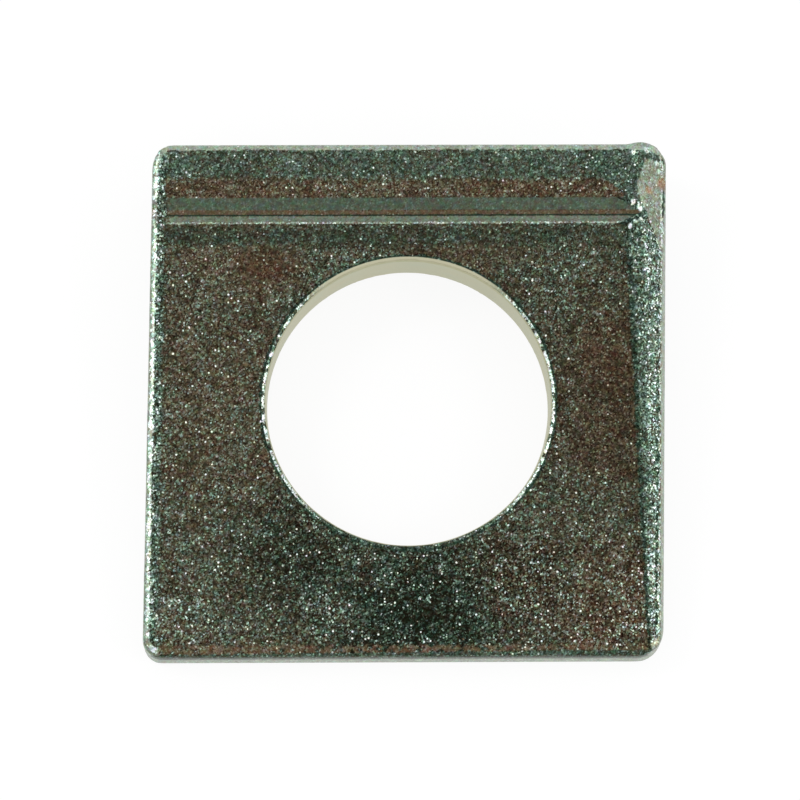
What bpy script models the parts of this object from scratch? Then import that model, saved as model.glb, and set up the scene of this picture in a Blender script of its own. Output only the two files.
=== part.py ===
"""Square taper washer that levels a bolt head or nut on the sloping inside of an I-section flange.

The real washer is one piece. A flat bar is rolled with a wedge section and a marking groove, sheared to
length across the bar, and punched square to its sloping face. The model is made in the same order.

Frame: +Z up, the plain face down on z = 0, the thick edge towards +Y, the bar running along X.
The origin is the centre of the plain face.
"""

import math

import bmesh
import bpy
from mathutils import Matrix, Vector

MM = 0.001

# The rolled bar
BAR_DEPTH = 39.4 * MM  # across the bar, from the thin edge to the thick edge
THIN_EDGE = 3.2 * MM  # height of the thin edge, before its corners are rounded
FLANGE_SLOPE = 0.14  # rise over run of the sloping face, as on I-section flanges
PLAIN_EDGE_RADIUS = 0.6 * MM  # rolled corners beside the plain face
THICK_EDGE_RADIUS = 0.6 * MM  # rolled corner between the thick edge and the sloping face
THIN_EDGE_RADIUS = 0.35 * MM  # rolled corner between the thin edge and the sloping face

# The marking groove rolled into the sloping face, one for the I-section slope
GROOVE_FROM_THICK_EDGE = 5.3 * MM  # to the groove's middle
GROOVE_WIDTH = 2.1 * MM
GROOVE_FLOOR = 0.45 * MM  # width of its flat bottom
GROOVE_DEPTH = 0.42 * MM
GROOVE_LIP_RADIUS = 0.35 * MM
GROOVE_FLOOR_RADIUS = 0.5 * MM

# The two shear cuts
CUT_LENGTH = 40.0 * MM  # between the cuts, along the bar
CUT_SKEW = math.radians(1.05)  # both cuts run this far off square to the bar
SHARP_CORNER_RADIUS = 1.3 * MM  # plan radius of the two corners that stand out past square
BLUNT_CORNER_RADIUS = 1.5 * MM  # plan radius of the other two corners

# The edge that the blade dragged down, on the +X cut
ROLLOVER_RADIUS = 5.0 * MM
ROLLOVER_WIDTH = 2.8 * MM  # from the cut inwards, at the middle of the cut
ROLLOVER_TAPER = math.radians(3.0)  # how much the rollover widens towards the thick edge

# The edge that only lost its burr, on the -X cut
BROKEN_EDGE_RADIUS = 0.7 * MM
BROKEN_EDGE_WIDTH = 0.55 * MM

# The flat where the steel broke away at the thick corner of the +X cut
BREAK_INSET = 2.47 * MM  # how far it reaches in from the cut, at the height of the sloping face
BREAK_FROM_THICK_EDGE = 3.5 * MM  # where that is measured, along the cut
BREAK_LEAN = math.radians(53)  # away from upright
BREAK_SWING = math.radians(-3.5)  # away from the line of the cut, in plan

# The bolt hole, for a 20 mm bolt
HOLE_DIAMETER = 22.0 * MM
HOLE_FROM_THICK_EDGE = 20.05 * MM  # to its centre, along the bar's depth at the sloping face
HOLE_OFF_MIDDLE = 0.1 * MM  # how far its centre lies from midway between the cuts, towards +X
MOUTH_RADIUS = 0.32 * MM  # rollover where the punch went in
BREAKOUT = 0.06 * MM  # how much wider the hole ends where the punch came out
BREAKOUT_LENGTH = 2.0 * MM  # length of that widening

# How finely round stretches are divided
ARC_STEP = math.radians(9)
HOLE_SIDES = 120
CLEAR = 4 * MM  # how far cutters run past the steel
HAIR = 0.004 * MM  # how far a rounding cutter starts above the face, so that its first facet bites

SLOPE_ANGLE = math.atan(FLANGE_SLOPE)
THICK_EDGE = THIN_EDGE + BAR_DEPTH * FLANGE_SLOPE
FACE_NORMAL = Vector((0, -math.sin(SLOPE_ANGLE), math.cos(SLOPE_ANGLE)))
FACE_UPHILL = Vector((0, math.cos(SLOPE_ANGLE), math.sin(SLOPE_ANGLE)))


def face_height(y):
    """Height of the sloping face above the plain face at y."""
    return THIN_EDGE + (y + BAR_DEPTH / 2) * FLANGE_SLOPE


def clear_scene():
    for obj in list(bpy.data.objects):
        bpy.data.objects.remove(obj, do_unlink=True)


def new_collection(name):
    collection = bpy.data.collections.new(name)
    bpy.context.scene.collection.children.link(collection)
    return collection


def rounded_outline(corners):
    """The points of a closed outline given as (x, y, radius) corners, with each corner made an arc."""
    points = []
    for index, (x, y, radius) in enumerate(corners):
        corner = Vector((x, y))
        before = Vector(corners[index - 1][:2]) - corner
        after = Vector(corners[(index + 1) % len(corners)][:2]) - corner
        turn = math.pi - before.angle(after)
        if radius == 0:
            points.append(corner)
            continue
        reach = radius * math.tan(turn / 2)
        start = corner + before.normalized() * reach
        inwards = (before.normalized() + after.normalized()).normalized()
        centre = corner + inwards * radius / math.cos(turn / 2)
        way = math.copysign(turn, before.cross(after))
        steps = max(1, round(turn / ARC_STEP))
        for step in range(steps + 1):
            spoke = start - centre
            spoke.rotate(Matrix.Rotation(-way * step / steps, 2))
            points.append(centre + spoke)
    return points


def prism(name, outline, length, matrix, collection):
    """A closed outline in the local XY plane, extruded half its length to each side, as a welded mesh."""
    curve = bpy.data.curves.new(name, "CURVE")
    curve.dimensions = "2D"
    curve.fill_mode = "BOTH"
    curve.extrude = length / 2
    spline = curve.splines.new("POLY")
    spline.points.add(len(outline) - 1)
    for point, (x, y) in zip(spline.points, outline):
        point.co = (x, y, 0, 1)
    spline.use_cyclic_u = True
    drawn = bpy.data.objects.new(name + "_outline", curve)
    collection.objects.link(drawn)
    drawn.matrix_world = matrix
    graph = bpy.context.evaluated_depsgraph_get()
    mesh = bpy.data.meshes.new_from_object(drawn.evaluated_get(graph))
    welded = bmesh.new()
    welded.from_mesh(mesh)
    bmesh.ops.remove_doubles(welded, verts=welded.verts, dist=0.001 * MM)
    bmesh.ops.recalc_face_normals(welded, faces=welded.faces)
    welded.to_mesh(mesh)
    welded.free()
    solid = bpy.data.objects.new(name, mesh)
    solid.matrix_world = matrix
    collection.objects.link(solid)
    bpy.data.objects.remove(drawn, do_unlink=True)
    return solid


def frame_at(origin, x_axis, y_axis):
    """A matrix that puts local X and Y along the two given directions, at the origin given."""
    x_axis = x_axis.normalized()
    z_axis = x_axis.cross(y_axis).normalized()
    y_axis = z_axis.cross(x_axis)
    return Matrix.Translation(origin) @ Matrix((x_axis, y_axis, z_axis)).transposed().to_4x4()


def as_cutter(obj):
    obj.hide_render = True
    obj.display_type = "WIRE"
    return obj


def rolled_bar(collection):
    """The wedge section with its groove, drawn across the bar and extruded along it."""
    middle = BAR_DEPTH / 2 - GROOVE_FROM_THICK_EDGE

    def on_face(along, below):
        """The point that lies this far uphill of the groove's middle and this far below the face."""
        foot = Vector((0, middle, face_height(middle)))
        return (foot + FACE_UPHILL * along - FACE_NORMAL * below).yz

    section = [
        (-BAR_DEPTH / 2, 0, PLAIN_EDGE_RADIUS),
        (BAR_DEPTH / 2, 0, PLAIN_EDGE_RADIUS),
        (BAR_DEPTH / 2, THICK_EDGE, THICK_EDGE_RADIUS),
        (*on_face(GROOVE_WIDTH / 2, 0), GROOVE_LIP_RADIUS),
        (*on_face(GROOVE_FLOOR / 2, GROOVE_DEPTH), GROOVE_FLOOR_RADIUS),
        (*on_face(-GROOVE_FLOOR / 2, GROOVE_DEPTH), GROOVE_FLOOR_RADIUS),
        (*on_face(-GROOVE_WIDTH / 2, 0), GROOVE_LIP_RADIUS),
        (-BAR_DEPTH / 2, THIN_EDGE, THIN_EDGE_RADIUS),
    ]
    along_bar = frame_at(Vector(), Vector((0, 1, 0)), Vector((0, 0, 1)))
    return prism("washer", rounded_outline(section), CUT_LENGTH + 2 * CLEAR, along_bar, collection)


def cut_line(side, y):
    """The x of a cut at y. side is 1 for the dragged edge and -1 for the other."""
    return side * CUT_LENGTH / 2 + math.tan(CUT_SKEW) * y


def shear(collection):
    """What the two cuts leave of the bar, seen from above, with the corners worn round."""
    far = BAR_DEPTH / 2
    plan = [
        (cut_line(-1, -far), -far, SHARP_CORNER_RADIUS),
        (cut_line(1, -far), -far, BLUNT_CORNER_RADIUS),
        (cut_line(1, far), far, SHARP_CORNER_RADIUS),
        (cut_line(-1, far), far, BLUNT_CORNER_RADIUS),
    ]
    height = 2 * (THICK_EDGE + CLEAR)
    return as_cutter(prism("shear", rounded_outline(plan), height, Matrix(), collection))


def edge_rounding(name, side, radius, width, taper, collection):
    """A cutter that rounds the edge between the sloping face and a cut.

    The round is tangent to the face a width in from the cut. taper turns its line in the plane of the
    face, so that the round widens towards the thick edge.
    """
    edge = Vector((cut_line(side, 0), 0, face_height(0)))
    cut_direction = Vector((math.tan(CUT_SKEW), 1, FLANGE_SLOPE)).normalized()
    along = Matrix.Rotation(side * taper, 3, FACE_NORMAL) @ cut_direction
    inwards = FACE_NORMAL.cross(along) * side
    reach = math.acos(max(0, 1 - (THICK_EDGE / 2) / radius))
    steps = math.ceil(reach / (ARC_STEP / 2))
    outline = [
        Vector((width - radius * math.sin(reach * step / steps),
                HAIR - radius + radius * math.cos(reach * step / steps)))
        for step in range(steps + 1)
    ]
    outline += [
        Vector((-CLEAR, outline[-1].y)),
        Vector((-CLEAR, CLEAR)),
        Vector((width, CLEAR)),
    ]
    length = 2 * (BAR_DEPTH + CLEAR)
    return as_cutter(prism(name, outline, length, frame_at(edge, inwards, FACE_NORMAL), collection))


def corner_break(collection):
    """A block whose one side is the flat of the break."""
    bpy.ops.mesh.primitive_cube_add(size=2 * BAR_DEPTH)
    block = bpy.context.object
    block.name = "corner_break"
    for owner in list(block.users_collection):
        owner.objects.unlink(block)
    collection.objects.link(block)
    y = BAR_DEPTH / 2 - BREAK_FROM_THICK_EDGE
    foot = Vector((cut_line(1, y) - BREAK_INSET, y, face_height(y)))
    across = Matrix.Rotation(BREAK_SWING - CUT_SKEW, 3, "Z") @ Vector((1, 0, 0))
    outwards = (across * math.cos(BREAK_LEAN) + Vector((0, 0, math.sin(BREAK_LEAN)))).normalized()
    placed = frame_at(foot + outwards * BAR_DEPTH, outwards, Vector((0, 1, 0)))
    block.data.transform(placed)
    return as_cutter(block)


def punch(collection):
    """The hole as a turned profile: round mouth, straight land, and a slight cone where the steel broke."""
    radius = HOLE_DIAMETER / 2
    y = BAR_DEPTH / 2 - HOLE_FROM_THICK_EDGE
    through = THICK_EDGE + CLEAR
    depth_here = face_height(y) * math.cos(SLOPE_ANGLE)
    profile = [(radius + MOUTH_RADIUS, CLEAR)]
    steps = 5
    for step in range(steps + 1):
        turn = math.pi / 2 * step / steps
        profile.append(
            (radius + MOUTH_RADIUS * (1 - math.sin(turn)), HAIR - MOUTH_RADIUS * (1 - math.cos(turn)))
        )
    profile.append((radius, BREAKOUT_LENGTH - depth_here))
    cone = BREAKOUT / BREAKOUT_LENGTH
    profile.append((radius + cone * (through - depth_here + BREAKOUT_LENGTH), -through))
    profile = [(0, CLEAR)] + profile + [(0, -through)]
    mesh = bpy.data.meshes.new("punch")
    mesh.from_pydata([(x, 0, z) for x, z in profile], [(i, i + 1) for i in range(len(profile) - 1)], [])
    cutter = bpy.data.objects.new("punch", mesh)
    collection.objects.link(cutter)
    screw = cutter.modifiers.new("turned", "SCREW")
    screw.axis = "Z"
    screw.steps = HOLE_SIDES
    screw.render_steps = HOLE_SIDES
    screw.use_merge_vertices = True
    screw.merge_threshold = 0.001 * MM
    cutter.matrix_world = frame_at(
        Vector((HOLE_OFF_MIDDLE, y, face_height(y))), Vector((1, 0, 0)), FACE_UPHILL
    )
    return as_cutter(cutter)


def take_away(part, cutter, operation="DIFFERENCE"):
    cut = part.modifiers.new(cutter.name, "BOOLEAN")
    cut.operation = operation
    cut.solver = "EXACT"
    cut.object = cutter


def zinc_plated_steel():
    """Bright electroplated zinc over rolled steel, dulled to olive and brown."""
    material = bpy.data.materials.new("zinc_plated_steel")
    material.use_nodes = True
    shader = material.node_tree.nodes["Principled BSDF"]
    shader.inputs["Base Color"].default_value = (0.36, 0.37, 0.33, 1)
    shader.inputs["Metallic"].default_value = 1
    shader.inputs["Roughness"].default_value = 0.38
    return material


def main():
    clear_scene()
    washers = new_collection("square_taper_washer")
    cutters = new_collection("cutters")
    washer = rolled_bar(washers)
    take_away(washer, shear(cutters), "INTERSECT")
    take_away(washer, edge_rounding(
        "rollover", 1, ROLLOVER_RADIUS, ROLLOVER_WIDTH, ROLLOVER_TAPER, cutters
    ))
    take_away(washer, edge_rounding(
        "broken_edge", -1, BROKEN_EDGE_RADIUS, BROKEN_EDGE_WIDTH, 0, cutters
    ))
    take_away(washer, corner_break(cutters))
    take_away(washer, punch(cutters))
    washer.data.materials.append(zinc_plated_steel())
    washer.data.shade_smooth()
    washer.data.set_sharp_from_angle(angle=math.radians(30))


main()
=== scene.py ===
# %% [markdown]
# # A square taper washer, zinc plated
#
# A square taper washer goes between a nut and the sloping inside of a steel beam's flange.
# This lesson dresses the plain solid of one: it builds the same washer finely, with the worn
# edges, the dragged cut and the small dents of the real one, and gives it its zinc finish.

# %% Load the frame
import math

import bmesh
import bpy
from mathutils import Matrix, Vector


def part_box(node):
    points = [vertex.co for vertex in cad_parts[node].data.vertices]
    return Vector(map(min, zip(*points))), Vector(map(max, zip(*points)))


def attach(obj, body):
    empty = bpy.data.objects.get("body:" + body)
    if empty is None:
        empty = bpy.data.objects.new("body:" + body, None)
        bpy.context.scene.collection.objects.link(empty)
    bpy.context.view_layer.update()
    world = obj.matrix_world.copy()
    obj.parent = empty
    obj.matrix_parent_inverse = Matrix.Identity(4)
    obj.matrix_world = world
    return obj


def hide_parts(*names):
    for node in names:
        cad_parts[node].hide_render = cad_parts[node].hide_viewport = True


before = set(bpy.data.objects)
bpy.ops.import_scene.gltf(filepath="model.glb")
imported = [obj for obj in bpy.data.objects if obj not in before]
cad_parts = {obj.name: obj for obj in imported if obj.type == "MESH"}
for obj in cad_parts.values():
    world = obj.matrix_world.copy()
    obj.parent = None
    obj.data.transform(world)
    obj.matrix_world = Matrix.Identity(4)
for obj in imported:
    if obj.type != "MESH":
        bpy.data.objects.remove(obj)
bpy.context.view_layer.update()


MM = 0.001
low_corner, high_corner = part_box("washer")
print("washer, mm:", [round(side / MM, 2) for side in high_corner - low_corner])

# %% [markdown]
# The camera looks down on the washer from above its thin edge, 13.5 degrees off plumb and
# about 300 mm away. The lens comes from that distance: the photograph shows 62 mm of the
# table across its frame, so the focal length is distance / 62 times the sensor's width.

# %% Camera
CAMERA_DISTANCE = 305 * MM
CAMERA_TILT = math.radians(13.51)
CAMERA_SWING = math.radians(-0.64)
CAMERA_ROLL = math.radians(-0.33)
CAMERA_TARGET = Vector((-0.51, 0.55, 3.0)) * MM
SENSOR_WIDTH = 36.0
FIELD_AT_TARGET = 62.23 * MM
NEAREST_SHOWN = 10 * MM

view_back = Vector((math.tan(CAMERA_SWING), -math.tan(CAMERA_TILT), 1)).normalized()
camera_data = bpy.data.cameras.new("camera")
camera_data.sensor_width = SENSOR_WIDTH
camera_data.lens = SENSOR_WIDTH * CAMERA_DISTANCE / FIELD_AT_TARGET
camera_data.clip_start = NEAREST_SHOWN
camera = bpy.data.objects.new("camera", camera_data)
bpy.context.scene.collection.objects.link(camera)
camera.location = CAMERA_TARGET + view_back * CAMERA_DISTANCE
view_right = Vector((0, 1, 0)).cross(view_back).normalized()
view_up = view_back.cross(view_right)
upright = Matrix((view_right, view_up, view_back)).transposed()
camera.rotation_euler = (upright @ Matrix.Rotation(CAMERA_ROLL, 3, "Z")).to_euler()
bpy.context.scene.camera = camera
print("lens, mm:", round(camera_data.lens, 1))

# %% [markdown]
# Colours are written as sRGB hex values, the way a paint chart gives them. The shader wants
# linear light, so one function turns them. A second function adds a node of any kind with its
# settings and its links, which keeps the recipes further down short.

# %% Colour and node helpers
def linear(hex_colour):
    """An sRGB hex colour as linear red, green, blue and alpha."""
    channels = [int(hex_colour[i:i + 2], 16) / 255 for i in (1, 3, 5)]
    light = [c / 12.92 if c <= 0.04045 else ((c + 0.055) / 1.055) ** 2.4 for c in channels]
    return light + [1.0]


def add_node(material, kind, settings=None, *inputs, **named_inputs):
    """Adds a node of any kind to a material.

    settings are what is set on the node itself; a plain word is its operation. inputs fill the
    sockets in use, in their order, and named_inputs fill them by name. Each is a value, a
    socket, or a node, which stands for its first output in use.
    """
    node = material.node_tree.nodes.new("ShaderNode" + kind)
    if isinstance(settings, str):
        settings = {"operation": settings}
    for name, value in (settings or {}).items():
        setattr(node, name, value)
    filled = list(zip([socket for socket in node.inputs if socket.enabled], inputs))
    filled += [(node.inputs[name], value) for name, value in named_inputs.items()]
    for socket, value in filled:
        if isinstance(value, bpy.types.Node):
            value = next(output for output in value.outputs if output.enabled)
        if isinstance(value, bpy.types.NodeSocket):
            material.node_tree.links.new(value, socket)
        else:
            socket.default_value = value
    return node


print("mid grey is", [round(c, 3) for c in linear("#808080")])

# %% [markdown]
# The washer was photographed on a light table: a sheet of white acrylic lit from below, which
# is why the background is pure white. The floor here is a white diffuser that also glows. To
# the camera and to shiny metal it is mostly its own glow, at a strength of 1, which is white,
# and the rest is ordinary diffuse white, which keeps a faint shadow round the washer.

# %% Floor
TABLE_SIDE = 2.0
GLOW_SHARE = 0.9

bpy.ops.mesh.primitive_plane_add(size=TABLE_SIDE)
floor = bpy.context.object
floor.name = "light_table"
acrylic = bpy.data.materials.new("back_lit_white_acrylic")
acrylic.use_nodes = True
acrylic.node_tree.nodes.clear()
diffuse = add_node(acrylic, "BsdfDiffuse", Color=linear("#f7f7f7"))
glow = add_node(acrylic, "Emission", Color=linear("#ffffff"), Strength=1.0)
rays = add_node(acrylic, "LightPath").outputs
seen = rays["Is Camera Ray"]
for other_ray in ("Is Glossy Ray", "Is Transmission Ray"):
    seen = add_node(acrylic, "Math", "MAXIMUM", seen, rays[other_ray])
glow_here = add_node(acrylic, "Math", "MULTIPLY", seen, GLOW_SHARE)
surface = add_node(acrylic, "MixShader", None, glow_here, diffuse, glow)
add_node(acrylic, "OutputMaterial", Surface=surface)
floor.data.materials.append(acrylic)
print("floor, m:", [round(side, 2) for side in floor.dimensions])

# %% [markdown]
# The light is a plain white tent: a world of strength 1 all round, so a colour comes out about
# as it is written, and two soft lamps that give the bright metal something to sparkle with. A
# lamp shines along its own -Z, so each is turned until its +Z points away from the washer.

# %% World and lamps
SOFTBOX_SIDE = 0.16
SOFTBOXES = {  # name: (place in metres, watts)
    "left_softbox": ((-0.35, 0.10, 0.40), 0.6),
    "right_softbox": ((0.38, -0.12, 0.36), 0.4),
}

scene = bpy.context.scene
scene.view_settings.view_transform = "Standard"
world = bpy.data.worlds.new("white_tent")
world.use_nodes = True
background = world.node_tree.nodes["Background"]
background.inputs["Color"].default_value = linear("#ffffff")
background.inputs["Strength"].default_value = 1.0
scene.world = world
for name, (place, watts) in SOFTBOXES.items():
    lamp = bpy.data.lights.new(name, "AREA")
    lamp.size = SOFTBOX_SIDE
    lamp.energy = watts
    holder = bpy.data.objects.new(name, lamp)
    scene.collection.objects.link(holder)
    holder.location = place
    holder.rotation_euler = Vector(place).to_track_quat("Z", "Y").to_euler()

# %% [markdown]
# The real washer starts as a long bar, rolled hot to a wedge section. A box is the start of
# that: it is added at the size of the piece, as high all over as the thick edge.

# %% The bar
BAR_LENGTH = 40.0 * MM
BAR_DEPTH = high_corner.y - low_corner.y
BACK = BAR_DEPTH / 2
THIN_EDGE = 3.2 * MM
FLANGE_SLOPE = 0.14
THICK_EDGE = THIN_EDGE + FLANGE_SLOPE * BAR_DEPTH

bpy.ops.object.select_all(action="DESELECT")
bpy.ops.mesh.primitive_cube_add(size=1, location=(0, 0, THICK_EDGE / 2))
washer = bpy.context.object
washer.name = "taper_washer"
washer.scale = (BAR_LENGTH, BAR_DEPTH, THICK_EDGE)
bpy.ops.object.transform_apply(location=True, rotation=False, scale=True)
print("box, mm:", [round(side / MM, 2) for side in washer.dimensions])

# %% [markdown]
# The box becomes a wedge in edit mode. An operator acts on all that is selected, so two helpers
# come first: one puts a single piece in edit mode with nothing selected, and one selects points,
# edges or faces by their place. Then the upper corners of the thin side are pulled down, which
# makes the sloping face. Pushing the thick side along the bar and the thin side back skews both
# ends, because the shear cut this one slightly off square.

# %% The wedge
CUT_SKEW = math.radians(1.05)
HAIR = 0.01 * MM


def start_edit(piece):
    """Puts one piece alone in edit mode, with nothing on it selected."""
    if bpy.context.object and bpy.context.object.mode != "OBJECT":
        bpy.ops.object.mode_set(mode="OBJECT")
    bpy.ops.object.select_all(action="DESELECT")
    piece.select_set(True)
    bpy.context.view_layer.objects.active = piece
    bpy.ops.object.mode_set(mode="EDIT")
    bpy.ops.mesh.select_all(action="DESELECT")


def end_edit():
    """Goes back to object mode."""
    bpy.ops.object.mode_set(mode="OBJECT")


def pick(piece, kind, test):
    """Selects what passes the test, in edit mode, and says how many did.

    The test gets a point's place for verts, both ends for edges, and the face itself for faces.
    """
    bpy.ops.mesh.select_mode(type={"verts": "VERT", "edges": "EDGE", "faces": "FACE"}[kind])
    bpy.ops.mesh.select_all(action="DESELECT")
    mesh = bmesh.from_edit_mesh(piece.data)
    count = 0
    for part in getattr(mesh, kind):
        if kind == "verts":
            chosen = test(part.co)
        elif kind == "edges":
            chosen = test(part.verts[0].co, part.verts[1].co)
        else:
            chosen = test(part)
        if chosen:
            part.select_set(True)
            count += 1
    bmesh.update_edit_mesh(piece.data)
    return count


start_edit(washer)
pick(washer, "verts", lambda co: co.y < 0 and co.z > HAIR)
bpy.ops.transform.translate(value=(0, 0, THIN_EDGE - THICK_EDGE))
for side in (-1, 1):
    pick(washer, "verts", lambda co: co.y * side > 0)
    bpy.ops.transform.translate(value=(side * math.tan(CUT_SKEW) * BACK, 0, 0))
end_edit()
print("wedge, mm:", [round(side / MM, 2) for side in washer.dimensions])

# %% [markdown]
# The mill rolls one groove along the sloping face, which marks the slope. Four cuts right round
# the bar give its two lips and the two edges of its floor. The strip of face between the floor's
# edges is then pushed in, the walls follow, and a bevel makes lips and floor round.

# %% The groove
SLOPE_ANGLE = math.atan(FLANGE_SLOPE)
FACE_NORMAL = Vector((0, -math.sin(SLOPE_ANGLE), math.cos(SLOPE_ANGLE)))
FACE_UPHILL = Vector((0, math.cos(SLOPE_ANGLE), math.sin(SLOPE_ANGLE)))
GROOVE_FROM_THICK_EDGE = 5.3 * MM
GROOVE_WIDTH = 2.1 * MM
GROOVE_FLOOR = 0.45 * MM
GROOVE_DEPTH = 0.42 * MM
GROOVE_ROUNDING = 0.14 * MM
GROOVE_SEGMENTS = 4
ROUND_PROFILE = 0.5
POINTS_UP = 0.9
# Bisect takes points nearer than this for one. Its own 0.1 mm is too coarse for a small piece.
SAME_POINT = 0.001 * MM


def face_point(x, y):
    """The point of the sloping face above x, y."""
    return Vector((x, y, THIN_EDGE + (y + BACK) * FLANGE_SLOPE))


groove_middle = face_point(0, BACK - GROOVE_FROM_THICK_EDGE)
start_edit(washer)
for uphill in (-GROOVE_WIDTH / 2, -GROOVE_FLOOR / 2, GROOVE_FLOOR / 2, GROOVE_WIDTH / 2):
    bpy.ops.mesh.select_all(action="SELECT")
    bpy.ops.mesh.bisect(plane_co=groove_middle + FACE_UPHILL * uphill, plane_no=FACE_UPHILL,
                        threshold=SAME_POINT)


def is_groove_floor(face):
    """Whether a face is the strip between the floor's two edges."""
    uphill = (face.calc_center_median() - groove_middle).dot(FACE_UPHILL)
    return face.normal.z > POINTS_UP and abs(uphill) < GROOVE_FLOOR / 2


def along_bar(a, b):
    """Whether an edge runs along the bar."""
    return abs(a.y - b.y) < HAIR and abs(a.z - b.z) < HAIR


def near_groove(a, b):
    """Whether an edge is one of the groove's own: along the bar, near it and not far below."""
    foot = (a + b) / 2 - groove_middle
    near = abs(foot.dot(FACE_UPHILL)) < GROOVE_WIDTH and foot.dot(FACE_NORMAL) > -2 * GROOVE_DEPTH
    return near and along_bar(a, b)


floor_faces = pick(washer, "faces", is_groove_floor)
bpy.ops.transform.translate(value=-FACE_NORMAL * GROOVE_DEPTH)
groove_edges = pick(washer, "edges", near_groove)
bpy.ops.mesh.bevel(offset=GROOVE_ROUNDING, segments=GROOVE_SEGMENTS, profile=ROUND_PROFILE)
end_edit()
print("groove floor faces:", floor_faces, "rounded edges:", groove_edges)

# %% [markdown]
# The rolls leave the bar's four long edges round, each a little differently, so each gets a
# bevel of its own. They are found by their place: the height says plain or sloping face, and
# the sign of y says thin or thick side.

# %% The rolled edges
ROLLED_EDGES = {  # name: (sign of y, on the sloping face, radius)
    "plain face, thin side": (-1, False, 0.5 * MM),
    "plain face, thick side": (1, False, 0.6 * MM),
    "sloping face, thin side": (-1, True, 0.38 * MM),
    "sloping face, thick side": (1, True, 0.6 * MM),
}
ROLLED_SEGMENTS = 6

start_edit(washer)
for name, (side, sloping, radius) in ROLLED_EDGES.items():
    found = pick(
        washer, "edges",
        lambda a, b: along_bar(a, b) and min(a.y * side, b.y * side) > BACK - HAIR
        and (a.z > THIN_EDGE / 2) == sloping,
    )
    bpy.ops.mesh.bevel(offset=radius, segments=ROLLED_SEGMENTS, profile=ROUND_PROFILE)
    print(name, "edges:", found)
end_edit()

# %% [markdown]
# The rest of the rounding is done as with a file: flat after flat, each cut by a plane and
# closed again, so close together that they read as round. First the four upright corners, worn
# in the plating drum.

# %% Filed corners
CORNER_RADIUS = {(-1, -1): 1.5 * MM, (1, -1): 2.1 * MM, (1, 1): 1.2 * MM, (-1, 1): 1.8 * MM}
CORNER_FLATS = 7


def cut_line(side, y):
    """The x of a sheared end at y. side is 1 for the right end and -1 for the left one."""
    return side * BAR_LENGTH / 2 + math.tan(CUT_SKEW) * y


def plane_off(piece, point, outwards):
    """Cuts off what lies beyond a plane and closes the cut."""
    start_edit(piece)
    bpy.ops.mesh.select_all(action="SELECT")
    bpy.ops.mesh.bisect(plane_co=point, plane_no=outwards, use_fill=True, clear_outer=True,
                        threshold=SAME_POINT)
    end_edit()


def round_off(piece, centre, radius, first, second, flats, share=1.0):
    """Planes an edge round, flat by flat, from the direction of first towards that of second.

    share is the part of the quarter turn to go. A whole turn stops one step before its end,
    where the side itself is the last flat.
    """
    steps = flats + 1 if share == 1.0 else flats
    for flat in range(1, flats + 1):
        turn = math.pi / 2 * share * flat / steps
        outwards = (first * math.cos(turn) + second * math.sin(turn)).normalized()
        plane_off(piece, centre + outwards * radius, outwards)


for (x_side, y_side), radius in CORNER_RADIUS.items():
    to_end, to_side = Vector((x_side, 0, 0)), Vector((0, y_side, 0))
    corner = Vector((cut_line(x_side, y_side * BACK), y_side * BACK, 0))
    centre = corner - (to_end + to_side) * radius
    round_off(washer, centre, radius, to_end, to_side, CORNER_FLATS)
print("after the corners:", len(washer.data.vertices), "vertices")

# %% [markdown]
# Then the upper edges of the two cuts. The blade dragged the right one down in a wide curve
# that gets wider towards the thick side. The left one only lost its burr.

# %% Filed edges
ROLLOVER_RADIUS = 5.0 * MM
ROLLOVER_WIDTH = 2.8 * MM
ROLLOVER_TAPER = math.radians(3.0)
BURR_EDGE_RADIUS = 0.7 * MM
BURR_EDGE_WIDTH = 0.55 * MM
EDGE_FLATS = 9

cut_direction = Vector((math.tan(CUT_SKEW), 1, FLANGE_SLOPE)).normalized()
for x_side, radius, width, taper in (
    (1, ROLLOVER_RADIUS, ROLLOVER_WIDTH, ROLLOVER_TAPER),
    (-1, BURR_EDGE_RADIUS, BURR_EDGE_WIDTH, 0),
):
    along = Matrix.Rotation(x_side * taper, 3, FACE_NORMAL) @ cut_direction
    outwards = along.cross(FACE_NORMAL) * x_side
    edge = face_point(cut_line(x_side, 0), 0)
    centre = edge - outwards * width - FACE_NORMAL * radius
    share = math.asin(width / radius) / (math.pi / 2)
    round_off(washer, centre, radius, FACE_NORMAL, outwards, EDGE_FLATS, share)
print("after the edges:", len(washer.data.vertices), "vertices")

# %% [markdown]
# Under the dragged edge the blade rubbed a narrow steep strip smooth. One plane cuts it. It
# starts on the rollover's curve, a little inside the end, and the depth of the circle there
# says how far under the face that is.

# %% The rubbed strip
RUBBED_INSET = 0.36 * MM
RUBBED_LEAN = math.radians(20)
RUBBED_TAPER = math.radians(0.6)

square_out = (Matrix.Rotation(RUBBED_TAPER, 3, FACE_NORMAL) @ cut_direction).cross(FACE_NORMAL)
past_start = ROLLOVER_WIDTH - RUBBED_INSET
dragged_down = ROLLOVER_RADIUS - math.sqrt(ROLLOVER_RADIUS ** 2 - past_start ** 2)
rubbed_from = face_point(cut_line(1, 0) - RUBBED_INSET, 0) - FACE_NORMAL * dragged_down
leaning_out = square_out * math.cos(RUBBED_LEAN) + FACE_NORMAL * math.sin(RUBBED_LEAN)
plane_off(washer, rubbed_from, leaning_out)
print("strip starts, mm under the face:", round(dragged_down / MM, 2))

# %% [markdown]
# At the thick corner of the right end the steel broke away and left a flat. It is one more
# plane, leaning back from the cut and turned a little across the corner.

# %% The broken corner
BREAK_INSET = 2.47 * MM
BREAK_FROM_THICK_EDGE = 3.5 * MM
BREAK_LEAN = math.radians(53)
BREAK_SWING = math.radians(-3.5)

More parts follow.
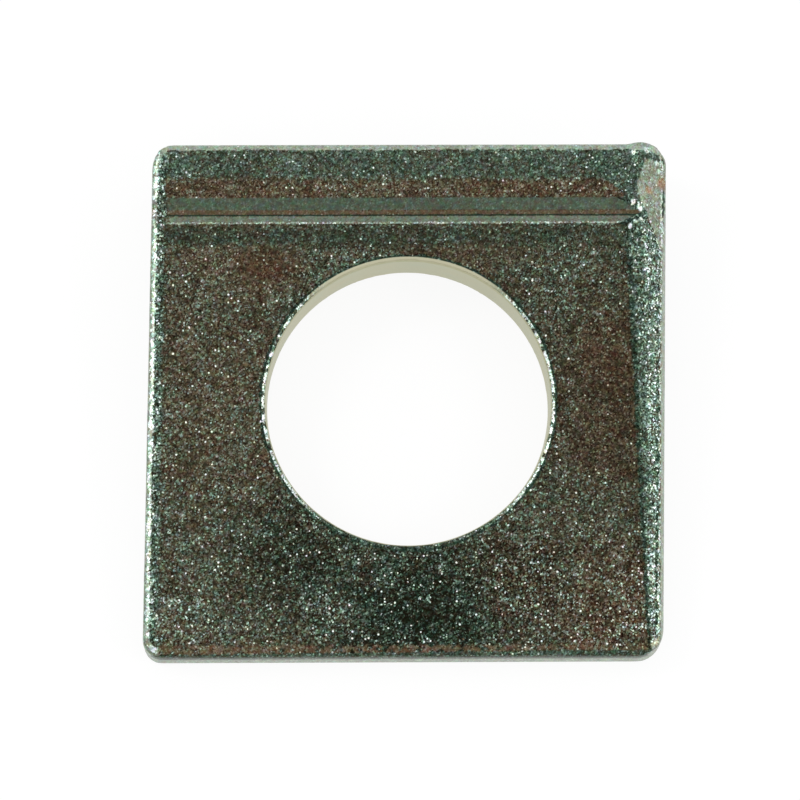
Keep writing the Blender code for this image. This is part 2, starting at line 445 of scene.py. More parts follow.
break_y = BACK - BREAK_FROM_THICK_EDGE
break_foot = face_point(cut_line(1, break_y) - BREAK_INSET, break_y)
level = Matrix.Rotation(BREAK_SWING - CUT_SKEW, 3, "Z") @ Vector((1, 0, 0))
upwards = Vector((0, 0, math.sin(BREAK_LEAN)))
break_normal = (level * math.cos(BREAK_LEAN) + upwards).normalized()
plane_off(washer, break_foot, break_normal)
print("flat starts, mm:", [round(value / MM, 2) for value in break_foot])

# %% [markdown]
# The hole is punched square to the sloping face. The punch is a cylinder that widens at its
# top in a quarter round, because the steel rolls in round the punch's rim. It is made upright,
# with the mouth's rim at the height of the face.

# %% The punch
HOLE_DIAMETER = 22.0 * MM
HOLE_SIDES = 160
MOUTH_RADIUS = 0.32 * MM
MOUTH_STEPS = 5

bpy.ops.object.select_all(action="DESELECT")
bpy.ops.mesh.primitive_cylinder_add(
    vertices=HOLE_SIDES, radius=HOLE_DIAMETER / 2, depth=2 * THICK_EDGE,
    location=(0, 0, -MOUTH_RADIUS - THICK_EDGE),
)
punch = bpy.context.object
punch.name = "punch"
bpy.ops.object.transform_apply(location=True, rotation=False, scale=False)
start_edit(punch)
pick(punch, "faces", lambda face: face.normal.z > POINTS_UP)
radius, height = HOLE_DIAMETER / 2, -MOUTH_RADIUS
for step in range(1, MOUTH_STEPS + 1):
    turn = math.pi / 2 * step / MOUTH_STEPS
    wider = HOLE_DIAMETER / 2 + MOUTH_RADIUS * (1 - math.cos(turn))
    higher = MOUTH_RADIUS * (math.sin(turn) - 1) + HAIR
    bpy.ops.mesh.extrude_region_move(TRANSFORM_OT_translate={"value": (0, 0, higher - height)})
    bpy.ops.transform.resize(value=(wider / radius, wider / radius, 1), center_override=(0, 0, 0))
    radius, height = wider, higher
bpy.ops.mesh.extrude_region_move(TRANSFORM_OT_translate={"value": (0, 0, THICK_EDGE)})
end_edit()
print("punch, mm:", [round(side / MM, 2) for side in punch.dimensions])

# %% [markdown]
# The punch is tilted with the face, set at the hole's centre, and cut out with a Boolean.

# %% The punched hole
HOLE_FROM_THICK_EDGE = 20.05 * MM
HOLE_OFF_MIDDLE = 0.1 * MM

hole_centre = face_point(HOLE_OFF_MIDDLE, BACK - HOLE_FROM_THICK_EDGE)
punch.rotation_euler = (SLOPE_ANGLE, 0, 0)
punch.location = hole_centre
bpy.ops.object.transform_apply(location=True, rotation=True, scale=False)
cut = washer.modifiers.new("hole", "BOOLEAN")
cut.operation = "DIFFERENCE"
cut.solver = "EXACT"
cut.object = punch
bpy.ops.object.select_all(action="DESELECT")
bpy.context.view_layer.objects.active = washer
bpy.ops.object.modifier_apply(modifier="hole")
bpy.data.objects.remove(punch, do_unlink=True)
print("punched:", len(washer.data.polygons), "faces")

# %% [markdown]
# So far every edge is as crisp as a drawing. Real plated steel is softer: a voxel remesh turns
# the solid into one skin of small even faces, and a light smoothing takes the last steps off.

# %% One even skin
SKIN_FACE = 0.22 * MM
SMOOTHING = 0.5
SMOOTHING_ROUNDS = 2

skin = washer.modifiers.new("skin", "REMESH")
skin.mode = "VOXEL"
skin.voxel_size = SKIN_FACE
skin.use_smooth_shade = True
bpy.ops.object.modifier_apply(modifier="skin")
worn = washer.modifiers.new("worn", "SMOOTH")
worn.factor = SMOOTHING
worn.iterations = SMOOTHING_ROUNDS
bpy.ops.object.modifier_apply(modifier="worn")
print("skin:", len(washer.data.polygons), "faces")

# %% [markdown]
# Handling left its marks. Each dent is a patch of the skin moved a little, with proportional
# editing so that the steel round it follows: the picked points go the whole way, and the others
# less with distance. The broken corner has the one bulge, pushed out and up by the blow.

# %% Dents and a bulge
# name: (x, y, picked radius, reach of the soft edge, move in x, y and along the face's normal), mm
MARKS = {
    "V-shaped nick": (-15.1, -14.4, 0.30, 0.7, 0, 0, -0.12),
    "long nick, left end": (7.6, -13.5, 0.25, 0.6, 0, 0, -0.10),
    "long nick, right end": (9.3, -13.6, 0.25, 0.6, 0, 0, -0.10),
    "crescent": (13.6, -17.7, 0.30, 0.6, 0, 0, -0.10),
    "round punch mark": (1.6, -19.2, 0.20, 0.5, 0, 0, -0.07),
    "bulge at the broken corner": (18.7, 19.2, 0.35, 1.5, 0.06, 0.26, 0.30),
}
UPPER_SKIN = 1.2 * MM


def move_patch(mark_x, mark_y, picked, reach, move_x, move_y, move_up):
    """Moves the upper skin round one point, in edit mode. Every length is in millimetres."""
    foot = face_point(mark_x * MM, mark_y * MM)
    count = pick(
        washer, "verts",
        lambda co: math.hypot(co.x - foot.x, co.y - foot.y) < picked * MM
        and co.z > foot.z - UPPER_SKIN,
    )
    bpy.ops.transform.translate(
        value=(Vector((move_x, move_y, 0)) + FACE_NORMAL * move_up) * MM,
        use_proportional_edit=True, use_proportional_connected=True,
        proportional_edit_falloff="SMOOTH", proportional_size=reach * MM,
    )
    return count


start_edit(washer)
for name, mark in MARKS.items():
    print(name, "points:", move_patch(*mark))
end_edit()

# %% [markdown]
# The finish is bright electroplated zinc over steel that was rolled hot and sheared. The acid
# bath that comes before plating etches the rolled face, so the zinc follows a grain of one to
# two tenths of a millimetre: each grain is a tiny mirror with its own tilt, some dark, a few
# blinding. The bore and the groove were rubbed smooth by steel tools and the broken flat is a
# clean break, so these are even and pale. Much of the colour is painted light: the open face is
# painted as dark as bright zinc that mirrors a dark room, and the glints, the edge highlights,
# the shadow lines, the groove's walls and the pale sides are painted light and shade as well.
#
# The recipe needs to know where a point lies. Object coordinates in millimetres give that, and
# first how far the point is from each of the four sides. A little noise is added to the place,
# so that no border runs dead straight. The rolled groove is straighter than the rest, so it
# gets a steadier distance of its own.

# %% Where a point lies, in millimetres
BORDER_WANDER = 0.13
BORDER_WAVE = 0.7
STEADY_SHARE = 0.25

zinc = bpy.data.materials.new("zinc_plated_hot_rolled_steel")
zinc.use_nodes = True
shader = zinc.node_tree.nodes["Principled BSDF"]
half_length, half_depth = BAR_LENGTH / 2 / MM, BACK / MM

given = add_node(zinc, "TexCoord").outputs
mm = add_node(zinc, "VectorMath", "SCALE", given["Object"], 1 / MM)
wave = add_node(zinc, "TexNoise", Vector=mm, Scale=1 / BORDER_WAVE, Detail=3.0, Roughness=0.65)
wander = add_node(zinc, "VectorMath", "MULTIPLY_ADD", wave.outputs["Color"],
                  [4 * BORDER_WANDER] * 3, [-2 * BORDER_WANDER] * 3)
ragged = add_node(zinc, "VectorMath", "ADD", mm, wander)
x, y, z = add_node(zinc, "SeparateXYZ", Vector=ragged).outputs
off_centre = add_node(zinc, "Math", "MULTIPLY_ADD", y, -math.tan(CUT_SKEW), x)
from_right = add_node(zinc, "Math", "SUBTRACT", half_length, off_centre)
from_left = add_node(zinc, "Math", "ADD", half_length, off_centre)
from_back = add_node(zinc, "Math", "SUBTRACT", half_depth, y)
from_front = add_node(zinc, "Math", "ADD", half_depth, y)
true_place = add_node(zinc, "SeparateXYZ", Vector=mm).outputs
wandered = add_node(zinc, "Math", "SUBTRACT", y, true_place["Y"])
steady_y = add_node(zinc, "Math", "MULTIPLY_ADD", wandered, STEADY_SHARE, true_place["Y"])
steady_back = add_node(zinc, "Math", "SUBTRACT", half_depth, steady_y)
print("nodes so far:", len(zinc.node_tree.nodes))

# %% [markdown]
# The left rim follows the round corners, so it needs the distance to a rounded square, which
# is good up to the corners' radius. The hole needs the distance from its axis and the height
# over the face. The last number says how far the surface itself is turned to the face's side.

# %% Rim, hole and facing
RIM_CORNER = 1.7

nearest_side = add_node(zinc, "Math", "MINIMUM", from_back, from_front)
into_corner = []
for distance in (from_left, nearest_side):
    inside_radius = add_node(zinc, "Math", "SUBTRACT", RIM_CORNER, distance)
    into_corner.append(add_node(zinc, "Math", "MAXIMUM", inside_radius, 0))
corner_spoke = add_node(zinc, "CombineXYZ", None, *into_corner)
from_corner_centre = add_node(zinc, "VectorMath", "LENGTH", corner_spoke)
from_rim = add_node(zinc, "Math", "SUBTRACT", RIM_CORNER, from_corner_centre)

from_hole = add_node(zinc, "VectorMath", "SUBTRACT", mm, hole_centre / MM)
above_face = add_node(zinc, "VectorMath", "DOT_PRODUCT", from_hole, FACE_NORMAL)
along_axis = add_node(zinc, "VectorMath", "SCALE", FACE_NORMAL, above_face)
spoke = add_node(zinc, "VectorMath", "SUBTRACT", from_hole, along_axis)
from_axis = add_node(zinc, "VectorMath", "LENGTH", spoke)
facing_up = add_node(zinc, "VectorMath", "DOT_PRODUCT", given["Normal"], FACE_NORMAL)
print("nodes so far:", len(zinc.node_tree.nodes))

# %% [markdown]
# Each zone of the surface has three numbers: how bright it is, how strongly its grain varies,
# and how green it is against brown. They travel together as one vector. A zone is a band of
# one of the distances above; laying it on mixes its three numbers over those below it. The
# brightness runs on a logarithmic scale, as the eye judges it, and is written as the sRGB level
# (0 to 255) that the middle of the zone has.

# %% Zone helpers
DARKEST = -5.0


def tone(level):
    """A grey level from 0 to 255 as its place between the darkest tone and white, 0 to 1."""
    grey = linear("#" + f"{round(level):02x}" * 3)[0]
    return 1 - math.log(grey) / DARKEST


def ease(value, low, high):
    """A soft step from 0 at low to 1 at high, the other way round when high is the smaller."""
    # a smooth step stays between 0 and 1 by itself; the node's own clamp would only use up
    # the renderer's memory for one material, and a material too big for it renders black
    smooth = {"interpolation_type": "SMOOTHSTEP", "clamp": False}
    return add_node(zinc, "MapRange", smooth, value, low, high)


def both(mask, other):
    """1 where both masks are 1."""
    return add_node(zinc, "Math", "MULTIPLY", mask, other)


def band(distance, low, high, soft):
    """1 where the distance lies between low and high, falling to 0 over soft."""
    rise = ease(distance, low - soft / 2, low + soft / 2)
    return both(rise, ease(distance, high + soft / 2, high - soft / 2))


def lay(below, mask, level, grain, green):
    """The zone recipe below, with another zone laid over it where the mask is 1."""
    above = (tone(level), grain, green)
    return add_node(zinc, "Mix", {"data_type": "VECTOR"}, mask, below, above)


def lay_bands(below, distance, mask, *rows):
    """Bands of one distance, inside a mask or everywhere for None.

    A row is low, high, soft, level, grain, green.
    """
    for low, high, soft, *recipe in rows:
        here = band(distance, low, high, soft)
        below = lay(below, here if mask is None else both(here, mask), *recipe)
    return below


print("mid grey is at tone", round(tone(128), 3))

# %% [markdown]
# The open face changes slowly from plating and handling. Soft round patches do that, first the
# broad ones and then the small. Strips along the bar follow, from the rolls: a greenish one by
# the thick edge, a brown one, and a dull one before the groove.

# %% The open face
# Painted dark reflection: this level makes bright zinc as dark as it looks when it mirrors a dark
# room.
OPEN_FACE = (62, 0.86, 0.28)
# centre in x and y, radius, then level, grain and greenness
PATCHES = (
    (-16, 0, 13, 66, 0.78, 0.06),
    (-14, 15, 9, 73, 0.64, -0.12),
    (17, 0, 11, 54, 0.74, -0.16),
    (16, -16, 8, 65, 1.00, -0.14),
    (-17, -17, 6, 70, 0.94, 0.26),
    (1, -17, 9, 33, 1.30, 0.50),
    (-8, -12, 7, 44, 1.08, 0.36),
    (-6, -16.6, 2.6, 64, 1.20, 0.50),
    (9, -14, 5, 51, 1.24, 0.00),
    (4, 13, 7, 62, 0.62, -0.06),
    (-11, 10.5, 4, 60, 0.60, -0.35),
    (15.5, 3, 4, 54, 0.66, -0.30),
)
PATCH_FADES = (1.05, 0.15)

flat_place = add_node(zinc, "CombineXYZ", X=x, Y=y)


def round_patch(centre_x, centre_y, radius, fades):
    """0 beyond the first share of the radius, and 1 within the second."""
    away = add_node(zinc, "VectorMath", "DISTANCE", flat_place, (centre_x, centre_y, 0))
    return ease(away, fades[0] * radius, fades[1] * radius)


level, grain, green = OPEN_FACE
zones = add_node(zinc, "CombineXYZ", X=tone(level), Y=grain, Z=green)
for patch_x, patch_y, radius, *recipe in PATCHES:
    zones = lay(zones, round_patch(patch_x, patch_y, radius, PATCH_FADES), *recipe)
zones = lay_bands(
    zones, from_back, None,
    (0.3, 2.8, 0.9, 72, 0.66, 0.68),
    (2.9, 4.3, 0.7, 66, 0.70, -0.18),
    (6.4, 8.0, 1.1, 57, 0.68, 0.44),
)
print("nodes so far:", len(zinc.node_tree.nodes))

# %% [markdown]
# The right end's rolled-over strip widens with y, so its bands are shares of the strip's width
# there. It has a painted shadow line where it starts, then painted glitter, most of all in its
# front half, and is dull and green behind the groove. A slanting line ends the brown strip
# there. The strip ends in a row of painted highlights along its ridge, above the rubbed strip,
# which has a painted shadow line and a pale edge.

# %% The dragged end
ROLL_WIDTH = 2.35
ROLL_WIDENING = 0.06
STRIP_END = -8.82
STRIP_END_SLOPE = 0.76
STRIP_END_SOFT = 0.12
BEAD = 0.55
BEHIND_GROOVE = (76, 0.70, 0.85)

roll_here = add_node(zinc, "Math", "MULTIPLY_ADD", y, ROLL_WIDENING, ROLL_WIDTH)
roll_share = add_node(zinc, "Math", "DIVIDE", from_right, roll_here)
# The strip's own tone, then a band of painted glitter: bright grains and glints painted in.
zones = lay_bands(
    zones, roll_share, None,
    (-0.5, 1.0, 0.16, 76, 0.95, 0.85),
    (0.12, 0.62, 0.14, 94, 1.10, 0.90),
)
front_half = ease(from_front, 13, 4)
# More painted glitter in the strip's front half.
zones = lay_bands(zones, roll_share, front_half, (0.14, 0.86, 0.14, 112, 1.10, 0.85))
dull_part = both(ease(roll_share, 1.08, 0.98), ease(from_back, 5.4, 4.0))
zones = lay(zones, dull_part, *BEHIND_GROOVE)
slanting = add_node(zinc, "Math", "MULTIPLY_ADD", x, -STRIP_END_SLOPE, from_back)
past_end = ease(slanting, STRIP_END + STRIP_END_SOFT, STRIP_END - STRIP_END_SOFT)
zones = lay(zones, both(past_end, ease(from_back, 4.6, 4.2)), *BEHIND_GROOVE)
bead_noise = add_node(zinc, "TexNoise", Vector=mm, Scale=1 / BEAD, Detail=2.0)
# A painted shadow line where the strip starts to turn down, broken by noise.
painted_shadow_start = both(band(roll_share, 0.92, 1.06, 0.12), ease(from_back, 5.5, 9))
zones = lay(zones, both(painted_shadow_start, ease(bead_noise, 0.62, 0.50)), 44, 0.80, 0.85)
# A row of painted highlights on the ridge, then a painted shadow line and a pale edge towards the
# end.
zones = lay_bands(
    zones, from_right, None,
    (0.28, 0.52, 0.10, 146, 1.10, 0.50),
    (0.14, 0.28, 0.06, 66, 0.50, 0.90),
    (-0.5, 0.17, 0.06, 118, 0.22, 0.60),
)
# A second painted shadow line, broken by noise, just inside the row of highlights.
painted_shadow_gap = both(band(from_right, 0.50, 0.74, 0.10), ease(from_front, 24, 14))
zones = lay(zones, both(painted_shadow_gap, ease(bead_noise, 0.56, 0.46)), 50, 0.80, 0.95)
print("nodes so far:", len(zinc.node_tree.nodes))

# %% [markdown]
# The groove is deeper than the start of the rollover, so it runs on into it and ends in a
# point, with a painted shadow round the tip. Its own bands are laid inside that shape: the far
# wall, the brown line of its floor, a painted shadow line, and the near wall with a painted
# highlight on its lip. The two walls' tones are painted reflections, set by how each faces.

# %% The groove's bands
GROOVE_TIP = 18.15
GROOVE_TIP_LENGTH = 1.9

centre_line = add_node(zinc, "Math", "SUBTRACT", steady_back, GROOVE_FROM_THICK_EDGE / MM)
off_middle = add_node(zinc, "Math", "ABSOLUTE", centre_line)
before_tip = add_node(zinc, "Math", "SUBTRACT", GROOVE_TIP, x)
tip_slant = GROOVE_TIP_LENGTH / (GROOVE_WIDTH / 2 / MM)
drawn_back = add_node(zinc, "Math", "MULTIPLY", off_middle, tip_slant)
tip_gap = add_node(zinc, "Math", "SUBTRACT", before_tip, drawn_back)
in_groove = both(ease(tip_gap, -0.15, 0.05), ease(from_left, 0.7, 1.7))
# A painted shadow round the groove's tip.
painted_shade_beyond_tip = both(band(tip_gap, -0.80, 0.0, 0.2), band(off_middle, -1, 1.05, 0.15))
zones = lay(zones, painted_shade_beyond_tip, 62, 0.90, 0.95)
# Walls in painted reflections, a painted shadow line in the crease, a painted highlight on the
# lip.
zones = lay_bands(
    zones, steady_back, in_groove,
    (4.25, 5.12, 0.10, 86, 0.20, 0.70),
    (5.12, 5.46, 0.12, 78, 0.24, -0.15),
    (5.46, 5.60, 0.07, 50, 0.24, 0.70),
    (5.60, 6.12, 0.08, 112, 0.20, 0.55),
    (6.10, 6.27, 0.06, 138, 0.55, 0.45),
)
print("nodes so far:", len(zinc.node_tree.nodes))

# %% [markdown]
# The left end has a painted highlight along its rounded edge, broken like a row of beads by
# coarse noise along it, and its back corner is pale all over. The front has a smeared brown
# stretch and turns over in a painted dark reflection, and the back turns over in a painted pale
# reflection.

# %% The edges of the face
FRONT_LINE_SLANT = -0.008

at_left = ease(from_left, 1.6, 1.0)
# A green band inside the left edge, then the edge's painted highlight.
zones = lay_bands(
    zones, from_rim, at_left,
    (0.35, 1.10, 0.40, 78, 1.15, 0.80),
    (0.02, 0.48, 0.10, 146, 0.40, 0.60),
)
# Painted highlight beads along the left edge.
painted_highlight_beads = both(band(from_rim, 0.16, 0.48, 0.10), ease(bead_noise, 0.45, 0.55))
zones = lay(zones, both(painted_highlight_beads, at_left), 208, 0.85, 0.70)
zones = lay_bands(zones, from_rim, at_left, (-0.5, 0.12, 0.06, 124, 0.24, 0.55))
# The back left corner is pale all over.
pale_back_corner = both(both(band(from_rim, -0.5, 0.58, 0.16), at_left), ease(from_back, 2.6, 1.6))
zones = lay(zones, pale_back_corner, 142, 0.34, 0.50)

inside = ease(from_left, 0.8, 1.6)
smeared = both(inside, ease(bead_noise, 0.38, 0.52))
zones = lay_bands(zones, from_front, smeared, (0.20, 0.90, 0.25, 80, 0.46, -0.22))
front_line = add_node(zinc, "Math", "MULTIPLY_ADD", x, FRONT_LINE_SLANT, from_front)
# A painted dark reflection where the front turns over.
zones = lay_bands(zones, front_line, inside, (-0.6, 0.34, 0.16, 70, 0.66, 0.75))
# A painted pale reflection where the back turns over.
zones = lay_bands(zones, from_back, None, (-0.5, 0.56, 0.12, 155, 0.20, 0.45))
print("nodes so far:", len(zinc.node_tree.nodes))

# %% [markdown]
# The four sides are painted pale by how they face, a painted reflection. On the two cuts the
# shear rubbed the upper part smooth and tore the lower part. The front side has a painted dark
# reflection near its top. The underside was rolled, and looks much like the sloping face.

# %% Sides, cuts and underside
RUBBED_SHARE = 0.55
RUBBED_SOFT = 0.03

# Painted reflection: every surface turned to the side is painted pale.
on_side = band(facing_up, -2.0, 0.62, 0.20)
zones = lay(zones, on_side, 156, 0.24, 0.36)
middle_height = (THIN_EDGE + BACK * FLANGE_SLOPE) / MM
height_here = add_node(zinc, "Math", "MULTIPLY_ADD", y, FLANGE_SLOPE, middle_height)
share_up = add_node(zinc, "Math", "DIVIDE", z, height_here)
torn = both(ease(share_up, RUBBED_SHARE + RUBBED_SOFT, RUBBED_SHARE - RUBBED_SOFT), on_side)
at_cuts = add_node(zinc, "Math", "MAXIMUM", ease(from_left, 0.5, 0.3), ease(from_right, 0.5, 0.3))
zones = lay(zones, both(torn, at_cuts), 118, 0.70, 0.30)
underside = ease(facing_up, -0.80, -0.95)
zones = lay(zones, underside, 84, 0.75, 0.30)
# A painted dark reflection near the top of the front side.
near_front_top = both(band(z, 2.15, 9.0, 0.45), band(from_front, -0.5, 0.2, 0.2))
zones = lay(zones, both(near_front_top, on_side), 72, 0.55, 0.62)
print("nodes so far:", len(zinc.node_tree.nodes))

# %% [markdown]
# The flat of the broken corner is found as all that lies on its plane, to the right of two
# slanting lines. It has a painted highlight near its lower edge and two rusty patches, and a
# painted shadow dash lies near the right end. Painted highlights lie on the bulge and where the
# groove's tip meets the flat. Of the two worn front corners, the right one has a pale patch and
# the left one one more painted highlight.

# %% The broken flat
BREAK_TAIL_SLANT = 0.42
BREAK_TAIL_START = 16.4
BREAK_HEAD_SLANT = 0.36
BREAK_HEAD_START = 19.0
BREAK_BORDER_SOFT = 0.05
# centre in x and y, radius, then level, grain and greenness
CORNER_PATCHES = (
    (20.0, 16.9, 0.55, 128, 0.30, -0.7),
    (18.9, 16.2, 0.40, 138, 0.30, -0.6),
    (19.1, -18.8, 0.55, 146, 0.40, 0.20),
)
CORNER_PATCH_FADES = (1.2, 0.6)
# centre in x and y, radius
PAINTED_HIGHLIGHT_SPOTS = (
    (17.65, 18.95, 0.22), (18.75, 19.25, 0.28), (19.6, 18.45, 0.26), (19.75, 17.9, 0.18),
    (18.12, 14.75, 0.27), (17.6, 15.1, 0.24), (18.2, 13.87, 0.19), (17.76, 13.62, 0.22),
    (17.3, 13.2, 0.20), (-19.55, -19.0, 0.26),
)
HIGHLIGHT_FADES = (1.2, 0.5)

from_foot = add_node(zinc, "VectorMath", "SUBTRACT", mm, break_foot / MM)
off_break = add_node(zinc, "VectorMath", "DOT_PRODUCT", from_foot, break_normal)
on_break = both(band(off_break, -0.07, 0.5, 0.04), ease(from_back, 1.0, 1.3))
tail = add_node(zinc, "Math", "MULTIPLY_ADD", from_back, BREAK_TAIL_SLANT, BREAK_TAIL_START)
past_tail = add_node(zinc, "Math", "SUBTRACT", x, tail)
head = add_node(zinc, "Math", "MULTIPLY_ADD", from_back, BREAK_HEAD_SLANT, -BREAK_HEAD_START)
past_head = add_node(zinc, "Math", "ADD", x, head)
for past_line in (past_tail, past_head):
    on_break = both(on_break, ease(past_line, -BREAK_BORDER_SOFT, BREAK_BORDER_SOFT))
zones = lay(zones, on_break, 143, 0.34, 0.42)
# A painted highlight near the flat's lower edge.
zones = lay(zones, both(on_break, band(from_right, 0.30, 0.46, 0.08)), 196, 0.70, 0.40)
# A painted shadow dash near the right end.
painted_shadow_dash = both(band(from_right, 0.16, 0.32, 0.06), band(from_back, 3.0, 5.5, 0.5))
zones = lay(zones, painted_shadow_dash, 66, 0.5, 0.8)
# Two rusty patches on the flat, and a pale patch at the front right corner.
for patch_x, patch_y, radius, *recipe in CORNER_PATCHES:
    corner_patch = round_patch(patch_x, patch_y, radius, CORNER_PATCH_FADES)
    zones = lay(zones, both(corner_patch, ease(above_face, -2.6, -1.8)), *recipe)
# Painted highlight spots on the bulge, at the groove's tip and at the front left corner.
for spot_x, spot_y, radius in PAINTED_HIGHLIGHT_SPOTS:
    painted_highlight = round_patch(spot_x, spot_y, radius, HIGHLIGHT_FADES)
    zones = lay(zones, painted_highlight, 225, 0.40, 0.60)
print("nodes so far:", len(zinc.node_tree.nodes))

# %% [markdown]
# The hole has a mouth ring with painted glints, most to the left and right, and a painted
# shadow ring round it, and a smooth bore with a grey line where the punch came out. On the
# uphill side the mouth has the bore's pale colour.

# %% The hole's zones
SHADOW_RING_WIDTH = 0.42
SHADOW_RING_WANDER = 0.5
BORE_OVERLAP = 0.20
BORE_STARTS = -0.55
EXIT_LINE_TOP = 0.34
EXIT_LINE_FULL = 0.16

mouth_depth = MOUTH_RADIUS / MM
mouth_radius = HOLE_DIAMETER / 2 / MM + mouth_depth
spoke_parts = add_node(zinc, "SeparateXYZ", Vector=spoke).outputs
share_across = add_node(zinc, "Math", "DIVIDE", spoke_parts["X"], from_axis)
sideways = add_node(zinc, "Math", "ABSOLUTE", share_across)
uphill = add_node(zinc, "Math", "DIVIDE", spoke_parts["Y"], from_axis)
mouth = band(from_axis, 0, mouth_radius, 0.1)
wandering_edge = add_node(zinc, "Math", "MULTIPLY_ADD", bead_noise, SHADOW_RING_WANDER, from_axis)
# A painted shadow ring round the mouth.
painted_shadow_ring = band(wandering_edge, 0, mouth_radius + SHADOW_RING_WIDTH, 0.1)
zones = lay(zones, painted_shadow_ring, 48, 0.70, 0.95)
zones = lay(zones, mouth, 74, 0.90, 0.80)
# Painted glints on the mouth ring, most to the left and right.
painted_glints = both(band(sideways, 0.62, 2, 0.36), ease(bead_noise, 0.40, 0.50))
zones = lay(zones, both(mouth, painted_glints), 205, 0.85, 0.75)
bore_radius = HOLE_DIAMETER / 2 / MM + BORE_OVERLAP
below_mouth = band(above_face, -20, BORE_STARTS * mouth_depth, 0.1)
punched = both(band(from_axis, 0, bore_radius, 0.1), below_mouth)
# On the uphill side the mouth takes the bore's pale colour.
uphill_mouth = both(mouth, ease(uphill, 0.66, 0.88))
in_bore = add_node(zinc, "Math", "MAXIMUM", punched, uphill_mouth)
zones = lay(zones, in_bore, 170, 0.06, 0.20)
exit_line = ease(true_place["Z"], EXIT_LINE_TOP, EXIT_LINE_FULL)
print("nodes so far:", len(zinc.node_tree.nodes))

# %% [markdown]
# The grain is a Voronoi pattern: every cell is one crystal grain with its own random colour, and
# the sum of that colour's three channels is close to a bell curve. Two sizes of grain, in
# millimetres, and a slow cloud are added up. The sum swings round 0 and is weighed by the zone.
# Zinc's own crystals are finer still, but a pixel of the photograph is 0.08 mm wide, so the
# grain is drawn as coarse as it needs to show.

# %% Grain
GRAINS = ((0.11, 0.95), (0.24, 0.34))  # size and weight
CLOUD = 1.6
CLOUD_SWING = 2.2

level_here, grain_here, green_here = add_node(zinc, "SeparateXYZ", Vector=zones).outputs
cloud = add_node(zinc, "TexNoise", Vector=mm, Scale=1 / CLOUD, Detail=4.0, Roughness=0.6)
varied = add_node(zinc, "Math", "MULTIPLY_ADD", cloud, CLOUD_SWING, -CLOUD_SWING / 2)
for size, weight in GRAINS:
    cells = add_node(zinc, "TexVoronoi", Vector=mm, Scale=1 / size)
    total = add_node(zinc, "VectorMath", "DOT_PRODUCT", cells.outputs["Color"], (2, 2, 2))
    centred = add_node(zinc, "Math", "SUBTRACT", total, 3)
    varied = add_node(zinc, "Math", "MULTIPLY_ADD", centred, weight, varied)
swing = both(varied, grain_here)
toned = add_node(zinc, "Math", "MULTIPLY_ADD", swing, -1 / DARKEST, level_here)
print("nodes so far:", len(zinc.node_tree.nodes))

# %% [markdown]
# A third set of cells holds painted glints: small round highlight dots painted into the colour,
# in a few of the cells only, which a lottery draws from the cell's random colour. A second number
# of that colour sets how bright.

# %% Painted glints
GLINT_SPACING = 0.25
GLINT_SHARE = 0.84
GLINT_SHARE_SOFT = 0.02
GLINT_EDGE = 0.42
GLINT_CORE = 0.22
GLINT_BOOST = 0.80
DIMMEST_GLINT = 0.2

dots = add_node(zinc, "TexVoronoi", Vector=mm, Scale=1 / GLINT_SPACING)
lottery = add_node(zinc, "SeparateXYZ", Vector=dots.outputs["Color"]).outputs
drawn = ease(lottery["X"], GLINT_SHARE, GLINT_SHARE + GLINT_SHARE_SOFT)
brightness = add_node(zinc, "Math", "MULTIPLY_ADD", lottery["Y"],
                      1 - DIMMEST_GLINT, DIMMEST_GLINT)
chosen = both(drawn, brightness)
round_dot = ease(dots, GLINT_EDGE, GLINT_CORE)
# The painted glints: bright dots painted into the colour where the lottery draws them.
painted_glint = both(both(chosen, round_dot), grain_here)
clamped_sum = {"operation": "MULTIPLY_ADD", "use_clamp": True}
toned = add_node(zinc, "Math", clamped_sum, painted_glint, GLINT_BOOST, toned)
print("nodes so far:", len(zinc.node_tree.nodes))

# %% [markdown]
# Brightness becomes colour through three ramps, for the brown, the green and the rusty
# stretches. Each colour sits on its ramp where its own brightness says. Patches of the three
# mix at the scale of a few grains, and brighter grains are greener.

# %% Plated colours
BROWN = ("#16170e", "#383428", "#5b513f", "#858472", "#b8c0af", "#f4fbf2")
GREEN = ("#111a13", "#2a3c32", "#4c5e51", "#758b7d", "#aecabb", "#f2fffb")
RUST = ("#1a110b", "#3f2a1e", "#6e4934", "#967659", "#c8b79c", "#fffaf0")
LUMINANCE_SHARES = (0.2126, 0.7152, 0.0722)
PLAY = 0.34
PLAY_SWING = 2.8
SLOW_PLAY = 1.5
SLOW_PLAY_SWING = 1.2
PLAY_BY_GRAIN = 0.8
LEAST_PLAY = 0.2
GREEN_SHINE = 0.36


def fill_ramp(node, colours):
    """Puts the colours on a ramp, each at the tone of its own luminance."""
    stops = node.color_ramp.elements
    while len(stops) < len(colours):
        stops.new(0.5)
    for stop, colour in zip(stops, colours):
        *channels, alpha = linear(colour)
        luminance = sum(share * light for share, light in zip(LUMINANCE_SHARES, channels))
        stop.position = 1 - math.log(luminance) / DARKEST
        stop.color = (*channels, alpha)


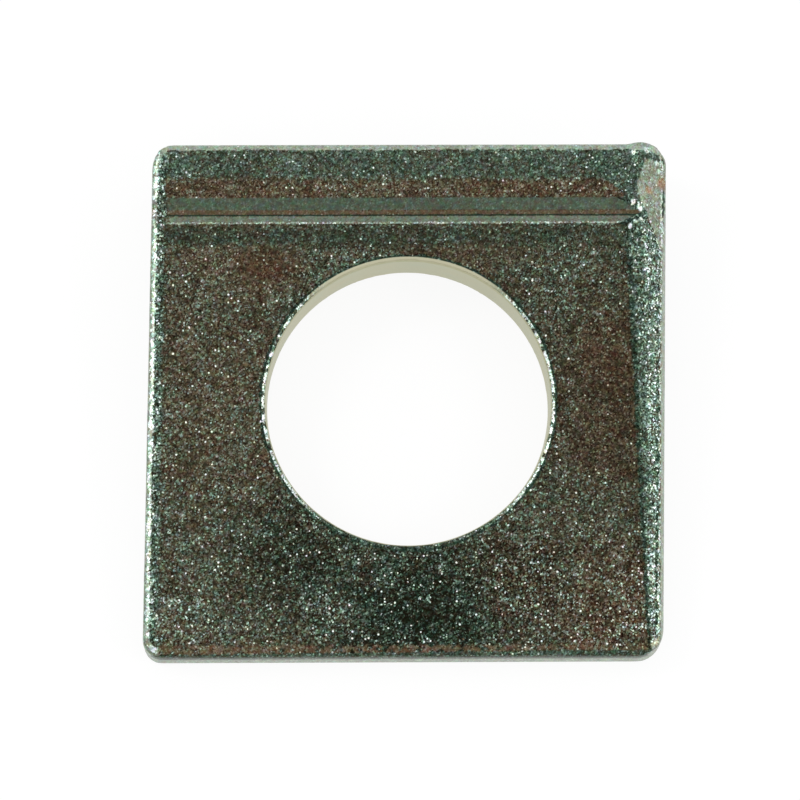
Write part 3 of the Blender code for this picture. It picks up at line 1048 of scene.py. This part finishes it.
ramps = []
for colours in (BROWN, GREEN, RUST):
    ramps.append(add_node(zinc, "ValToRGB", Fac=toned))
    fill_ramp(ramps[-1], colours)
brown, green, rust = ramps
play = add_node(zinc, "TexNoise", Vector=mm, Scale=1 / PLAY, Detail=3.0, Roughness=0.7)
slow_play = add_node(zinc, "TexNoise", Vector=mm, Scale=1 / SLOW_PLAY, Detail=3.0)
wandering = add_node(
    zinc, "Math", "ADD",
    add_node(zinc, "Math", "MULTIPLY_ADD", play, PLAY_SWING, -PLAY_SWING / 2),
    add_node(zinc, "Math", "MULTIPLY_ADD", slow_play, SLOW_PLAY_SWING, -SLOW_PLAY_SWING / 2),
)
freedom = add_node(zinc, "Math", clamped_sum, grain_here, PLAY_BY_GRAIN, LEAST_PLAY)
greenness = add_node(zinc, "Math", "MULTIPLY_ADD", wandering, freedom, green_here)
greenness = add_node(zinc, "Math", "MULTIPLY_ADD", swing, GREEN_SHINE, greenness)
plated = add_node(zinc, "Mix", {"data_type": "RGBA"}, ease(greenness, 0.0, 1.0), brown, green)
plated = add_node(zinc, "Mix", {"data_type": "RGBA"}, ease(greenness, 0.0, -1.0), plated, rust)
print("nodes so far:", len(zinc.node_tree.nodes))

# %% [markdown]
# A noise tints the plating a little towards teal, rose or straw, which is its faint play of
# colours. The bore has a cream colour of its own, painted lighter where it turns over into the
# mouth, a painted sheen, and grey at the exit line. Zinc is a metal, so the colour is the colour
# of its reflections, and a middling roughness gives its soft shine.

# %% Tint, bore and shine
TINT = 0.40
TINT_STRENGTH = 0.75
CREAM_PATCH = 2.5
ROUGHNESS = 0.36

tint = add_node(zinc, "TexNoise", Vector=mm, Scale=1 / TINT, Detail=2.0)
tint = add_node(zinc, "VectorMath", "MULTIPLY_ADD", tint.outputs["Color"],
                [TINT_STRENGTH] * 3, [1 - TINT_STRENGTH / 2] * 3)
tinting = {"data_type": "RGBA", "blend_type": "MULTIPLY"}
plated = add_node(zinc, "Mix", tinting, 1.0, plated, tint)
cream = add_node(zinc, "TexNoise", Vector=mm, Scale=1 / CREAM_PATCH, Detail=5.0)
cream = add_node(zinc, "Mix", {"data_type": "RGBA"}, cream, linear("#b1a97c"), linear("#a6ae8c"))
cream = add_node(zinc, "Mix", {"data_type": "RGBA"}, exit_line, cream, linear("#8c8884"))
# A painted lighter sheen where the bore turns over into the mouth.
turned_over = ease(above_face, -1.1 * mouth_depth, -0.5 * mouth_depth)
cream = add_node(zinc, "Mix", {"data_type": "RGBA"}, turned_over, cream, linear("#bebba0"))
coloured = add_node(zinc, "Mix", {"data_type": "RGBA"}, in_bore, plated, cream)
zinc.node_tree.links.new(coloured.outputs[2], shader.inputs["Base Color"])
shader.inputs["Metallic"].default_value = 1.0
shader.inputs["Roughness"].default_value = ROUGHNESS
print("nodes so far:", len(zinc.node_tree.nodes))

# %% [markdown]
# The same grain also tilts the surface. A Bump node turns it into small slopes, with heights of
# about a hundredth of a millimetre, and less where the surface is smooth.

# %% Relief
RELIEF = 0.010
RELIEF_STRENGTH = 0.4

relief = add_node(zinc, "Bump", Strength=RELIEF_STRENGTH, Distance=RELIEF * MM, Height=swing)
zinc.node_tree.links.new(relief.outputs["Normal"], shader.inputs["Normal"])
washer.data.materials.clear()
washer.data.materials.append(zinc)
print("nodes in all:", len(zinc.node_tree.nodes))
print("material on", washer.name, [slot.name for slot in washer.material_slots])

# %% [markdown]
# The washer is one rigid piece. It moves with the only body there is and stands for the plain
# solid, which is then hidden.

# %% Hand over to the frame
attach(washer, "root")
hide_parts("washer")
print("handed over:", washer.name)
